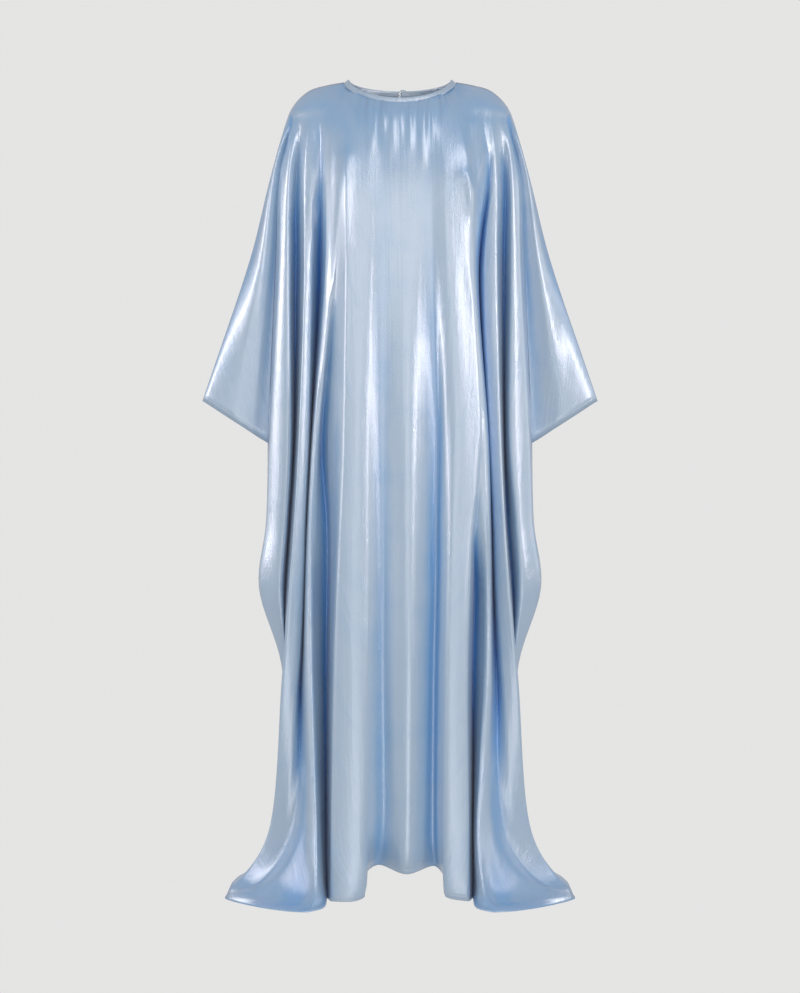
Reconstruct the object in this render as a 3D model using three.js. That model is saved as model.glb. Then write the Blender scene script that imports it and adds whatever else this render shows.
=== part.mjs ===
// A full-length satin kaftan with batwing sleeves, in the form it takes when it is worn.
// Millimetres, +Z up, +X to the garment's left as it faces -Y. The origin is where the wearer's
// shoulders carry it: the middle of the line that joins the two high shoulder points of the neck.
//
// The cloth is cut as one front and one back panel. They meet in a seam over each arm, from neck to
// wrist, and in a side seam from the end of each cuff slit to the corner of the hem. The hem is short
// at the centre and runs out at each side into a small train that lies on the floor.
//
// Each panel is a surface stretched through a table of fold lines. A fold line is a crest or a
// hollow that runs down the cloth, and its row gives its place across and its depth at named levels.
import * as THREE from "three";

// ---- driving dimensions ----
const CLOTH = 1.6; // thickness of a panel's wall
const SEAM_GAP = 0.4; // between two pieces that are sewn together
const FLOOR_Z = -1445; // the floor under the train
const HEM_LIE = FLOOR_Z + CLOTH + 0.3; // outer face of cloth that lies on the floor
const NECK = { halfWidth: 100, foot: -3 }; // foot: height of the panels' edge at the high points
const NECK_FRONT = { depth: 76, drop: 50 };
const NECK_BACK = { depth: 62, drop: 12 };
const BAND = {
  height: 8.5, thick: 2.2, lean: 1.5, sideLean: 4, sideInset: 2.3, sideDrop: 0.4, columns: 56,
};
const SLIT = { length: 105, halfGap: 1.6 }; // opening at the centre back
const BUTTON = { radius: 4.2, thick: 4.2, place: 4.8 };
const LOOP = { cord: 1.8, start: -3, reach: 12.4, halfHeight: 6.2 };
const GATHER = { depth: 2.4, fade: 1.9, reach: 62 }; // small folds under the front of the band
const SHOULDER_SWELL = 12; // how far cloth rounds forwards as it leaves the seam on the shoulder

// ---- levels, from the top edge down, and the number of rows of faces above each ----
const LEVELS = [
  { name: "top", rows: 0 },
  { name: "yoke", z: -75, rows: 3 },
  { name: "bust", z: -170, rows: 3 },
  { name: "waist", z: -340, rows: 3 },
  { name: "cuff", z: -648, rows: 4 },
  { name: "hip", z: -790, rows: 2 },
  { name: "wing", z: -905, rows: 2 },
  { name: "knee", z: -1062, rows: 4 },
  { name: "ankle", z: -1340, rows: 3 },
  { name: "floor", z: -1425, rows: 3 },
  { name: "hem", z: HEM_LIE, rows: 3 },
];
const CUFF_LEVEL = LEVELS.findIndex((level) => level.name === "cuff");

// ---- the seam over the arm: half width and height, from the high shoulder point to the wrist ----
const OVERARM = [
  { at: "neck", x: NECK.halfWidth, z: NECK.foot },
  { at: "collarbone", x: 130, z: -8 },
  { at: "shoulder", x: 167, z: -20.5 },
  { at: "shoulderTip", x: 191, z: -46 },
  { at: "armTop", x: 204, z: -76 },
  { at: "upperArm", x: 215, z: -115 },
  { at: "midArm", x: 243, z: -222 },
  { at: "elbow", x: 269, z: -330 },
  { at: "forearm", x: 308, z: -450 },
  { at: "wrist", x: 352, z: -574 },
];
// Distances from the neck along that seam at which the sleeve's lines cross the levels.
const SLEEVE_MARKS = [136, 200, 262, 385, Infinity];

// ---- the side seam under the cuff slit: [half width, depth] ----
const SIDE_SEAM = {
  cuff: [235, 0], hip: [236, 0], wing: [252, 0], knee: [207, 10], ankle: [226, 22], floor: [258, 75],
  hem: [284, 95], floorZ: -1408, hemZ: -1438,
};

// ---- fold lines of one half of the front, from the arm to the middle ----
// steps: columns of faces up to the line from the one before. top: where the line starts, as a
// distance from the neck along the seam over the arm. Each level: [half width, depth], with depth
// negative towards the front. floorZ and hemZ: heights of a line that leaves its level's own. left:
// the same fold on the garment's left half, at the levels where the two halves differ.
const FRONT_HALF = [
  { fold: "armEdge", steps: 1, top: 136, sleeve: true, out: -1, depth: -17 },
  { fold: "sleeveFace", steps: 2, top: 128, sleeve: true, share: 0.45, bulge: -29 },
  { fold: "hollow1", steps: 2, top: 118, seam: true, yoke: [191, -30], bust: [213, -42], waist: [222, -26] },
  {
    fold: "wingEdge", steps: 1, top: 112, yoke: [188, -36], bust: [206, -50], waist: [213, -46],
    cuff: [235, -20], hip: [236, -20], wing: [252, -18], knee: [209, -2], ankle: [230, 8],
    floor: [268, 60], hem: [293, 66], floorZ: -1420, hemZ: -1436,
  },
  {
    fold: "wingFace", steps: 2, top: 104, yoke: [181, -42], bust: [194, -60], waist: [195, -60],
    cuff: [202, -50], wing: [216, -44], knee: [205, -14], ankle: [231, -4], floor: [274, 36],
    hem: [301, 40], floorZ: -1419, hemZ: -1440,
  },
  {
    fold: "hollow2", steps: 2, top: 96, yoke: [174, -48], bust: [184, -50], waist: [185, -24],
    cuff: [187, -5], wing: [205, -8], knee: [205, -26], ankle: [232, -16], floor: [276, 10],
    hem: [303, 15], floorZ: -1418, hemZ: -1441,
  },
  {
    fold: "crest3", steps: 2, top: 82, yoke: [162, -56], bust: [167, -72], waist: [169, -80],
    cuff: [172, -80], wing: [190, -76], knee: [207, -60], ankle: [233, -32], floor: [275, -14],
    hem: [303, -15], floorZ: -1417, hemZ: -1441,
  },
  {
    fold: "hollow3", steps: 2, top: 58, yoke: [144, -64], bust: [143, -78], waist: [142, -42],
    cuff: [157, -22], wing: [172, -22], knee: [175, -28], ankle: [193, -48], floor: [256, -38],
    hem: [304, -42], floorZ: -1432,
    left: { waist: [148, -50], cuff: [160, -52], wing: [166, -24], knee: [168, -28] },
  },
  {
    fold: "trainCrest", steps: 1, top: 48, yoke: [139, -67], bust: [138, -84], waist: [137, -60],
    cuff: [155, -44], wing: [168, -42], knee: [170, -50], ankle: [173, -90], floor: [213, -86],
    hem: [304, -64], floorZ: -1408,
    left: { waist: [143, -62], cuff: [157, -58], wing: [161, -42], knee: [162, -50] },
  },
  {
    fold: "trainCorner", steps: 1, top: 40, yoke: [135, -69], bust: [134, -90], waist: [134, -76],
    cuff: [153, -60], wing: [166, -59], knee: [167, -66], ankle: [164, -104], floor: [190, -122],
    hem: [303, -103], floorZ: -1430,
    left: { waist: [141, -72], cuff: [156, -66], wing: [157, -60], knee: [158, -67], ankle: [156, -106] },
  },
  {
    fold: "trainFace", steps: 1, top: 34, yoke: [132, -70], bust: [131, -94], waist: [131, -87],
    cuff: [152, -72], wing: [164, -71], knee: [164, -78], ankle: [158, -115], floor: [168, -148],
    hem: [240, -172], floorZ: -1436,
    left: { waist: [139, -80], cuff: [155, -74], wing: [154, -72], knee: [155, -80], ankle: [149, -117] },
  },
  {
    fold: "trainTip", steps: 1, top: 29, yoke: [129, -71], bust: [129, -97], waist: [129, -95],
    cuff: [151, -82], wing: [160, -80], knee: [160, -88], ankle: [152, -124], floor: [155, -164],
    hem: [190, -204], floorZ: -1433,
    left: { waist: [137, -87], cuff: [154, -82], wing: [151, -81], knee: [151, -89], ankle: [142, -125] },
  },
  {
    fold: "crest4", steps: 1, top: 24, yoke: [124, -73], bust: [125, -101], waist: [125, -100],
    cuff: [148, -86], wing: [156, -84], knee: [155, -93], ankle: [145, -130], floor: [146, -172],
    hem: [157, -212], floorZ: -1424,
    left: { waist: [135, -93], cuff: [153, -88], wing: [147, -85], knee: [147, -93], ankle: [135, -132] },
  },
  {
    fold: "tipReturn", steps: 1, top: 19, yoke: [119, -75], bust: [119, -108], waist: [118, -104],
    cuff: [136, -76], wing: [147, -66], knee: [144, -72], ankle: [138, -108], floor: [134, -140],
    hem: [131, -180], floorZ: -1430,
    left: { waist: [133, -98], cuff: [151, -94], wing: [142, -66], knee: [139, -72], ankle: [129, -108] },
  },
  {
    fold: "hollow4", steps: 2, top: 12, yoke: [112, -78], bust: [111, -113], waist: [109, -110],
    cuff: [118, -58], wing: [132, -38], knee: [131, -36], ankle: [130, -52], floor: [128, -72],
    hem: [127, -92],
    left: {
      yoke: [115, -77], bust: [122, -111], waist: [131, -104], cuff: [149, -102], wing: [135, -50],
      knee: [129, -44],
    },
  },
  {
    fold: "bodyEdge", steps: 2, top: 0, yoke: [97, -84], bust: [93, -127], waist: [93, -132],
    cuff: [98, -130], wing: [107, -127], knee: [113, -124], ankle: [118, -124], floor: [119, -123],
    hem: [119, -120],
    left: {
      yoke: [102, -83], bust: [113, -125], waist: [122, -129], cuff: [143, -122], wing: [124, -126],
      knee: [117, -124],
    },
  },
];

// ---- fold lines across the middle of the front; top: degrees round the neckline ----
const FRONT_MIDDLE = [
  {
    fold: "columnFace", steps: 4, top: -46, yoke: [-73, -89], bust: [-73, -128], waist: [-73, -133],
    cuff: [-77, -133], wing: [-82, -132], knee: [-83, -131], ankle: [-84, -129], floor: [-84, -127],
    hem: [-85, -124],
  },
  {
    fold: "columnEdge", steps: 3, top: -30, yoke: [-50, -92], bust: [-52, -127], waist: [-54, -132],
    cuff: [-57, -130], wing: [-57, -128], knee: [-58, -127], ankle: [-60, -125], floor: [-61, -120],
    hem: [-62, -114], hemZ: -1437,
  },
  {
    fold: "columnReturn", steps: 1, top: -24, yoke: [-40, -93], bust: [-42, -126], waist: [-45, -129],
    cuff: [-47, -123], wing: [-46, -118], knee: [-47, -113], ankle: [-50, -104], floor: [-56, -92],
    hem: [-63, -78], floorZ: -1390, hemZ: -1407,
  },
  {
    fold: "softHollow", steps: 2, top: -15, yoke: [-26, -94], bust: [-28, -124], waist: [-30, -126],
    cuff: [-32, -117], wing: [-30, -108], knee: [-30, -101], ankle: [-32, -80], floor: [-36, -70],
    hem: [-40, -58], floorZ: -1370, hemZ: -1391.5,
  },
  {
    fold: "middleCrest", steps: 4, top: 7, yoke: [10, -96], bust: [12, -125], waist: [16, -129],
    cuff: [18, -129], wing: [17, -127], knee: [17, -123], ankle: [14, -104], floor: [12, -97],
    hem: [11, -90], floorZ: -1384, hemZ: -1402,
  },
  {
    fold: "deepHollow", steps: 4, top: 27, yoke: [46, -92], bust: [50, -123], waist: [55, -122],
    cuff: [64, -106], wing: [62, -95], knee: [59, -90], ankle: [59, -76], floor: [60, -68],
    hem: [61, -60], floorZ: -1374, hemZ: -1393,
  },
  {
    fold: "columnReturn2", steps: 2, top: 36, yoke: [58, -90], bust: [62, -125], waist: [70, -128],
    cuff: [79, -120], wing: [73, -114], knee: [70, -111], ankle: [71, -102], floor: [74, -90],
    hem: [77, -78], floorZ: -1392, hemZ: -1407,
  },
  {
    fold: "columnEdge2", steps: 1, top: 43, yoke: [68, -88], bust: [74, -127], waist: [83, -132],
    cuff: [92, -130], wing: [83, -129], knee: [80, -128], ankle: [79, -125], floor: [79, -121],
    hem: [79, -114], hemZ: -1436,
  },
];

// ---- fold lines of one half of the back ----
const BACK_HALF = [
  { fold: "armEdge", steps: 1, top: 136, sleeve: true, out: -1, depth: 17 },
  { fold: "sleeveFace", steps: 2, top: 128, sleeve: true, share: 0.45, bulge: 29 },
  { fold: "hollow1", steps: 2, top: 118, seam: true, yoke: [191, 30], bust: [213, 40], waist: [222, 26] },
  {
    fold: "wingFace", steps: 2, top: 106, yoke: [181, 42], bust: [195, 60], waist: [199, 58],
    cuff: [211, 48], wing: [226, 42], knee: [203, 44], ankle: [222, 72], floor: [246, 112],
    hem: [262, 138], floorZ: -1422, hemZ: -1440,
  },
  {
    fold: "hollow2", steps: 2, top: 92, yoke: [168, 52], bust: [175, 56], waist: [176, 34],
    cuff: [182, 16], wing: [190, 20], knee: [188, 52], ankle: [206, 98], floor: [226, 128],
    hem: [240, 162], floorZ: -1430, left: { knee: [183, 50], ankle: [200, 98] },
  },
  {
    fold: "crest3", steps: 2, top: 66, yoke: [144, 62], bust: [150, 80], waist: [150, 90],
    cuff: [152, 95], wing: [158, 100], knee: [163, 110], ankle: [181, 146], floor: [192, 170],
    hem: [204, 198], floorZ: -1430,
    left: { cuff: [144, 97], wing: [149, 103], knee: [155, 113], ankle: [172, 150] },
  },
  {
    fold: "hollow3", steps: 2, top: 34, yoke: [120, 67], bust: [117, 88], waist: [115, 78],
    cuff: [115, 66], wing: [119, 64], knee: [123, 73], ankle: [130, 100], floor: [134, 120],
    hem: [140, 146], floorZ: -1434, left: { cuff: [108, 72], wing: [112, 70], knee: [115, 80] },
  },
  {
    fold: "bladeCrest", steps: 2, top: 0, yoke: [96, 74], bust: [86, 103], waist: [84, 112],
    cuff: [84, 118], wing: [85, 124], knee: [87, 132], ankle: [91, 156], floor: [93, 168],
    hem: [96, 184],
  },
];
const BACK_MIDDLE = [
  {
    fold: "hollow5", steps: 3, top: -31, yoke: [-52, 76], bust: [-50, 103], waist: [-50, 103],
    cuff: [-49, 100], wing: [-49, 101], knee: [-50, 108], ankle: [-52, 131], floor: [-54, 141],
    hem: [-55, 150], hemZ: -1432,
  },
  {
    fold: "crest6", steps: 2, top: -15, yoke: [-26, 78], bust: [-25, 106], waist: [-25, 112],
    cuff: [-26, 118], wing: [-26, 124], knee: [-27, 132], ankle: [-28, 153], floor: [-28, 161],
    hem: [-29, 168], floorZ: -1412, hemZ: -1427,
  },
  {
    fold: "spine", steps: 2, top: 0, yoke: [0, 78], bust: [0, 105], waist: [0, 106], cuff: [0, 109],
    wing: [0, 113], knee: [0, 119], ankle: [0, 141], floor: [0, 149], hem: [0, 156],
    floorZ: -1408, hemZ: -1423, slit: true,
  },
  {
    fold: "crest7", steps: 2, top: 15, yoke: [26, 78], bust: [27, 106], waist: [29, 112],
    cuff: [31, 117], wing: [32, 122], knee: [33, 130], ankle: [33, 152], floor: [33, 160],
    hem: [33, 168], floorZ: -1412, hemZ: -1427,
  },
  {
    fold: "hollow8", steps: 2, top: 31, yoke: [52, 76], bust: [54, 103], waist: [56, 102],
    cuff: [58, 98], wing: [58, 99], knee: [58, 107], ankle: [57, 131], floor: [57, 141],
    hem: [58, 150], hemZ: -1432,
  },
];

// ---- curves that the panels share ----
const overarm = new THREE.CatmullRomCurve3(OVERARM.map((p) => new THREE.Vector3(p.x, 0, p.z)));
const overarmLength = overarm.getLength();

// The point on the seam over the arm at a distance from the neck, on the side of -1 or 1.
function onOverarm(side, distance) {
  const p = overarm.getPointAt(Math.min(1, distance / overarmLength));
  return new THREE.Vector3(side * p.x, 0, p.z);
}

// The point of the neckline at a number of degrees round from its middle.
function onNeckline(degrees, neck, facing) {
  const angle = THREE.MathUtils.degToRad(degrees);
  const rise = Math.cos(angle);
  const across = NECK.halfWidth * Math.sin(angle);
  return new THREE.Vector3(across, facing * neck.depth * rise, NECK.foot - neck.drop * rise ** 1.3);
}

// A panel's top edge is one path: degrees round the neckline up to 90 at each high shoulder point,
// then millimetres along the seam over the arm.
const HIGH_POINT = 90;
function onTopEdge(path, neck, facing) {
  const past = Math.abs(path) - HIGH_POINT;
  return past > 0 ? onOverarm(Math.sign(path), past) : onNeckline(path, neck, facing);
}

// ---- fold lines from the tables ----
// The control point of a row at a level, on the side of -1 or 1. A level that the row leaves out
// lies on the straight between its neighbours.
function placed(row, i, side) {
  const { name, z } = LEVELS[i];
  const point = (side > 0 && row.left?.[name]) || row[name];
  if (point) return new THREE.Vector3(side * point[0], point[1], row[name + "Z"] ?? z);
  const [above, below] = [LEVELS[i - 1], LEVELS[i + 1]];
  return placed(row, i - 1, side).lerp(placed(row, i + 1, side), (z - above.z) / (below.z - above.z));
}

// The points of a row at all levels from one down to the hem.
function placedBelow(row, from, side) {
  return LEVELS.slice(from).map((level, i) => placed(row, from + i, side));
}

// A line is a function from a level coordinate to a point.
function lineThrough(points) {
  const curve = new THREE.CatmullRomCurve3(points);
  return (level) => curve.getPoint(level / (points.length - 1));
}

// The line that reaches the end of the cuff slit and goes on down the side seam.
function seamLine(row, side) {
  const upper = LEVELS.slice(1, CUFF_LEVEL).map((level, i) => placed(row, i + 1, side));
  const seam = placedBelow(SIDE_SEAM, CUFF_LEVEL, side);
  const above = lineThrough([onOverarm(side, row.top), ...upper, seam[0]]);
  const below = lineThrough(seam);
  return (level) => (level <= CUFF_LEVEL ? above(level) : below(level - CUFF_LEVEL));
}

// A line of the sleeve, which ends at the edge of the cuff. It lies between the seam over the arm
// and the first line of the body, or just off that seam.
function sleeveLine(row, side, body) {
  return lineThrough(
    SLEEVE_MARKS.map((mark, level) => {
      const seam = onOverarm(side, mark);
      const flat = level === CUFF_LEVEL ? 0.6 : 1;
      if (!level) return onOverarm(side, row.top);
      if (!row.share) return seam.add(new THREE.Vector3(side * row.out, row.depth * flat, 0));
      const depth = body(level).y * 0.5 + row.bulge * flat;
      return seam.lerp(body(level), row.share).setY(depth);
    }),
  );
}

// All lines of one half, from the seam over the arm inwards.
function halfLines(table, side) {
  const body = seamLine(table.find((row) => row.seam), side);
  const armSeam = lineThrough(SLEEVE_MARKS.map((mark) => onOverarm(side, mark)));
  const lines = table.map((row) => {
    const plain = () => lineThrough([onOverarm(side, row.top), ...placedBelow(row, 1, side)]);
    const at = row.seam ? body : row.sleeve ? sleeveLine(row, side, body) : plain();
    return { ...row, at, path: side * (HIGH_POINT + row.top) };
  });
  return [{ steps: 0, sleeve: true, at: armSeam, path: side * (HIGH_POINT + SLEEVE_MARKS[0]) }, ...lines];
}

// All lines of a panel from one side to the other. A line's steps lead up to it from the one before,
// so on the mirrored half they move one place along.
function panelLines({ half, middle, neck, facing }) {
  const across = middle.map((row) => {
    const at = lineThrough([onNeckline(row.top, neck, facing), ...placedBelow(row, 1, 1)]);
    return { ...row, at, path: row.top };
  });
  const mirrored = halfLines(half, 1).reverse();
  const second = mirrored.map((line, i) => ({ ...line, steps: i ? mirrored[i - 1].steps : middle[0].steps }));
  return [...halfLines(half, -1), ...across, ...second];
}

// ---- sampling a panel ----
// Level coordinates of the rows of points: 0 at the top edge, CUFF_LEVEL at the cuff.
const ROWS = [0];
LEVELS.forEach((level, i) => {
  for (let step = 1; step <= level.rows; step += 1) ROWS.push(i - 1 + step / level.rows);
});
const CUFF_ROW = ROWS.indexOf(CUFF_LEVEL);

// Cloth that leaves the seam on the shoulder goes forwards before it goes down.
function roundShoulder(point, level, facing, fromNeck, fromSleeve) {
  if (level >= 1) return;
  const amount = SHOULDER_SWELL * Math.min(1, fromNeck / 35) * Math.min(1, fromSleeve / 3);
  const swell = Math.sin(Math.PI * level) * amount;
  point.y += facing * swell;
  point.z += swell * 0.35;
}

// The curves across a panel at each row. Below the cuff they leave out the sleeves' lines.
function rowCurves(lines, firstBody) {
  return ROWS.map((level) => {
    const first = level > CUFF_LEVEL ? firstBody : 0;
    const used = lines.slice(first, lines.length - first);
    const curve = new THREE.CatmullRomCurve3(used.map((line) => line.at(level)));
    return { level, first, count: used.length - 1, curve };
  });
}

// The places of the columns, in lines counted from one side.
function columnPlaces(lines) {
  const places = [0];
  lines.slice(1).forEach((line, k) => {
    for (let step = 1; step <= line.steps; step += 1) places.push(k + step / line.steps);
  });
  return places;
}

// The points of a panel as columns of rows. A column on the sleeve stops at the cuff.
function samplePanel(panel) {
  const lines = panelLines(panel);
  const firstBody = lines.findIndex((line) => !line.sleeve);
  const last = lines.length - 1;
  const curves = rowCurves(lines, firstBody);
  return columnPlaces(lines).map((place, index) => {
    const side = Math.min(place, last - place);
    const k = Math.min(last - 1, Math.floor(place));
    const path = THREE.MathUtils.lerp(lines[k].path, lines[k + 1].path, place - k);
    const fromNeck = Math.max(0, Math.abs(path) - HIGH_POINT);
    const rows = curves.map(({ level, first, count, curve }, j) => {
      if (side < firstBody && j > CUFF_ROW) return null;
      if (!j) return onTopEdge(path, panel.neck, panel.facing);
      const point = curve.getPoint((place - first) / count);
      roundShoulder(point, level, panel.facing, fromNeck, Math.max(0, side - firstBody + 1));
      if (panel.gather) panel.gather(point, level, index);
      point.z = Math.max(point.z, HEM_LIE);
      return point;
    });
    return {
      rows, onArmSeam: side === 0, onSideSeam: side === firstBody, onShoulder: Math.abs(path) >= HIGH_POINT,
      spine: lines[place]?.slit,
    };
  });
}

// ---- from a surface to a wall ----
// Points are welded by place, each gets the mean normal of its faces, and a second skin is laid
// inside at the cloth's thickness. Rims close the wall along every open edge. A point that isOnSeam
// is thickened along the seam's gap, so that the wall stays on its own side of it.
function wall(quads, thickness, isOnSeam) {
  const points = [];
  const index = new Map();
  const idOf = (p) => {
    const key = [p.x, p.y, p.z].map((v) => Math.round(v * 1000)).join();
    if (!index.has(key)) index.set(key, points.push(p) - 1);
    return index.get(key);
  };
  const faces = quads
    .map((quad) => quad.map(idOf))
    .flatMap(([a, b, c, d]) => [[a, b, c], [a, c, d]])
    .filter((face) => new Set(face).size === 3);
  const normals = points.map(() => new THREE.Vector3());
  for (const face of faces) {
    const [a, b, c] = face.map((i) => points[i]);
    const normal = b.clone().sub(a).cross(c.clone().sub(a));
    face.forEach((i) => normals[i].add(normal));
  }
  const inner = points.map((p, i) => {
    if (isOnSeam(p)) normals[i].y = 0;
    return p.clone().addScaledVector(normals[i].normalize(), -thickness);
  });
  const shift = points.length;
  const triangles = [...faces, ...faces.map(([a, b, c]) => [a + shift, c + shift, b + shift])];
  const directed = new Set(faces.flatMap(([a, b, c]) => [`${a},${b}`, `${b},${c}`, `${c},${a}`]));
  for (const edge of directed) {
    const [a, b] = edge.split(",").map(Number);
    if (!directed.has(`${b},${a}`)) triangles.push([b, a, a + shift], [b, a + shift, b + shift]);
  }
  const geometry = new THREE.BufferGeometry();
  const position = [...points, ...inner].flatMap((p) => p.toArray());
  geometry.setAttribute("position", new THREE.Float32BufferAttribute(position, 3));
  geometry.setIndex(triangles.flat());
  return geometry;
}

// The faces of a panel's columns, leaving out those past the cuff and across the slit.
function panelQuads(columns, facing) {
  const quads = [];
  for (let i = 1; i < columns.length; i += 1) {
    const [a, b] = [columns[i - 1].rows, columns[i].rows];
    if (columns[i - 1].spine && columns[i].spine) continue;
    for (let j = 1; j < ROWS.length; j += 1) {
      if (!a[j] || !b[j]) continue;
      const quad = [a[j - 1], a[j], b[j], b[j - 1]];
      quads.push(facing < 0 ? quad : quad.reverse());
    }
  }
  return quads;
}

// A panel's wall. Its points on the seams move off them by half the gap.
function sewnPanel(columns, facing) {
  const onSeam = new Set();
  columns.forEach(({ rows, onArmSeam, onSideSeam, onShoulder }) => {
    if (onShoulder) onSeam.add(rows[0]);
    if (onArmSeam) rows.slice(0, CUFF_ROW + 1).forEach((p) => onSeam.add(p));
    if (onSideSeam) rows.slice(CUFF_ROW).forEach((p) => onSeam.add(p));
  });
  onSeam.forEach((p) => {
    p.y += (facing * SEAM_GAP) / 2;
  });
  return wall(panelQuads(columns, facing), CLOTH, (p) => onSeam.has(p));
}

// ---- the pieces ----
// Under the middle of the band the front is gathered: crests and hollows one column apart, which
// fade out towards the bust and to the sides.
function gatherFront(point, level, column) {
  if (level > GATHER.fade || Math.abs(point.x) > GATHER.reach) return;
  const down = Math.sin((Math.PI / 2) * (1 - level / GATHER.fade)) * Math.min(1, 0.35 + level);
  const across = Math.cos(((Math.PI / 2) * point.x) / GATHER.reach);
  point.y += (column % 2 ? -1 : 1) * GATHER.depth * down * across;
}

function frontPanel() {
  const panel = { half: FRONT_HALF, middle: FRONT_MIDDLE, neck: NECK_FRONT, facing: -1, gather: gatherFront };
  return sewnPanel(samplePanel(panel), panel.facing);
}

// One edge of the slit down the middle of the back: the spine moved to a side, less and less until
// the two edges meet at its end.
function slitEdge(spine, side) {
  const top = spine.rows[0].z;
  const rows = spine.rows.map((p) => {
    const open = Math.sqrt(Math.max(0, 1 - (top - p.z) / SLIT.length));
    return new THREE.Vector3(p.x + side * SLIT.halfGap * open, p.y, p.z);
  });
  return { ...spine, rows };
}

function backPanel() {
  const panel = { half: BACK_HALF, middle: BACK_MIDDLE, neck: NECK_BACK, facing: 1 };
  const columns = samplePanel(panel);
  const middle = columns.findIndex((column) => column.spine);
  columns.splice(middle, 1, slitEdge(columns[middle], -1), slitEdge(columns[middle], 1));
  return sewnPanel(columns, panel.facing);
}

// A folded strip round the neckline. It stands on the panels' edge, leans inwards with the neck, most
// at the sides, and is open at the centre back.
function neckBand() {
  const profile = [
    { up: SEAM_GAP, out: 0 },
    { up: BAND.height * 0.5, out: 0.8 },
    { up: BAND.height, out: 0 },
  ];
  const endGap = THREE.MathUtils.radToDeg((SLIT.halfGap + 0.4) / NECK.halfWidth);
  const ring = Array.from({ length: BAND.columns + 1 }, (_, i) => {
    const turn = endGap - 180 + ((360 - 2 * endGap) * i) / BAND.columns;
    const front = Math.abs(turn) < HIGH_POINT;
    const degrees = front ? turn : Math.sign(turn) * (180 - Math.abs(turn));
    const foot = front ? onNeckline(degrees, NECK_FRONT, -1) : onNeckline(degrees, NECK_BACK, 1);
    const away = new THREE.Vector3(foot.x / NECK.halfWidth ** 2, foot.y / NECK_FRONT.depth ** 2, 0).normalize();
    const side = Math.abs(Math.sin(THREE.MathUtils.degToRad(turn))) ** 3;
    return profile.map(({ up, out }) => {
      const lean = out - BAND.sideInset * side - (BAND.lean + BAND.sideLean * side) * (up / BAND.height);
      return foot.clone().addScaledVector(away, lean).setZ(foot.z + up * (1 - BAND.sideDrop * side));
    });
  });
  const quads = [];
  for (let i = 1; i < ring.length; i += 1) {
    for (let k = 1; k < profile.length; k += 1) {
      quads.push([ring[i - 1][k - 1], ring[i][k - 1], ring[i][k], ring[i - 1][k]]);
    }
  }
  return wall(quads, BAND.thick, () => false);
}

// A cloth-covered button: a low dome on a narrower foot, turned on the Y axis.
function button() {
  const SEGMENTS = 18;
  const RINGS = 4;
  const dome = Array.from({ length: RINGS }, (_, i) => {
    const angle = (Math.PI / 2) * (i / RINGS);
    return new THREE.Vector2(BUTTON.radius * Math.cos(angle), BUTTON.thick * (0.3 + 0.7 * Math.sin(angle)));
  });
  const foot = [new THREE.Vector2(0, 0), new THREE.Vector2(BUTTON.radius * 0.7, 0)];
  return new THREE.LatheGeometry([...foot, ...dome, new THREE.Vector2(0, BUTTON.thick)], SEGMENTS);
}

// The loop that catches the button: a thin turned tube of cloth, bent round the button.
function buttonLoop() {
  const SIDES = 8;
  const section = Array.from({ length: SIDES }, (_, i) => {
    const angle = (2 * Math.PI * i) / SIDES;
    return new THREE.Vector2((LOOP.cord / 2) * Math.cos(angle), (LOOP.cord / 2) * Math.sin(angle));
  });
  const upper = [
    new THREE.Vector3(LOOP.start, 0, LOOP.cord * 0.8),
    new THREE.Vector3(LOOP.reach * 0.3, 0.3, LOOP.halfHeight),
    new THREE.Vector3(LOOP.reach * 0.8, 0.3, LOOP.halfHeight * 0.8),
  ];
  const lower = upper.map((p) => new THREE.Vector3(p.x, p.y, -p.z)).reverse();
  const bend = new THREE.CatmullRomCurve3([...upper, new THREE.Vector3(LOOP.reach, 0.3, 0), ...lower]);
  return new THREE.ExtrudeGeometry(new THREE.Shape(section), { steps: 26, bevelEnabled: false, extrudePath: bend });
}

// ---- materials and assembly ----
const satin = new THREE.MeshStandardMaterial({ color: 0xa9c1dc, roughness: 0.32, metalness: 0.25 });
const foldedSatin = new THREE.MeshStandardMaterial({ color: 0x9db8d6, roughness: 0.38, metalness: 0.2 });

const kaftan = new THREE.Group();

function addPiece(name, geometry, material, place = [0, 0, 0]) {
  const mesh = new THREE.Mesh(geometry, material.clone());
  mesh.name = name;
  mesh.position.set(...place);
  kaftan.add(mesh);
}

// The middle of the closing at the centre back, just off the outside of the band.
const closing = { y: NECK_BACK.depth + 1.2, z: NECK.foot - NECK_BACK.drop + BAND.height * 0.6 };
addPiece("front_panel", frontPanel(), satin);
addPiece("back_panel", backPanel(), satin);
addPiece("neck_band", neckBand(), foldedSatin);
addPiece("button", button(), foldedSatin, [BUTTON.place, closing.y, closing.z]);
addPiece("button_loop", buttonLoop(), foldedSatin, [0, closing.y + LOOP.cord / 2, closing.z]);

export default kaftan;
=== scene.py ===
import math

import bmesh
import bpy
import numpy as np
from mathutils import Matrix, Vector


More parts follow.
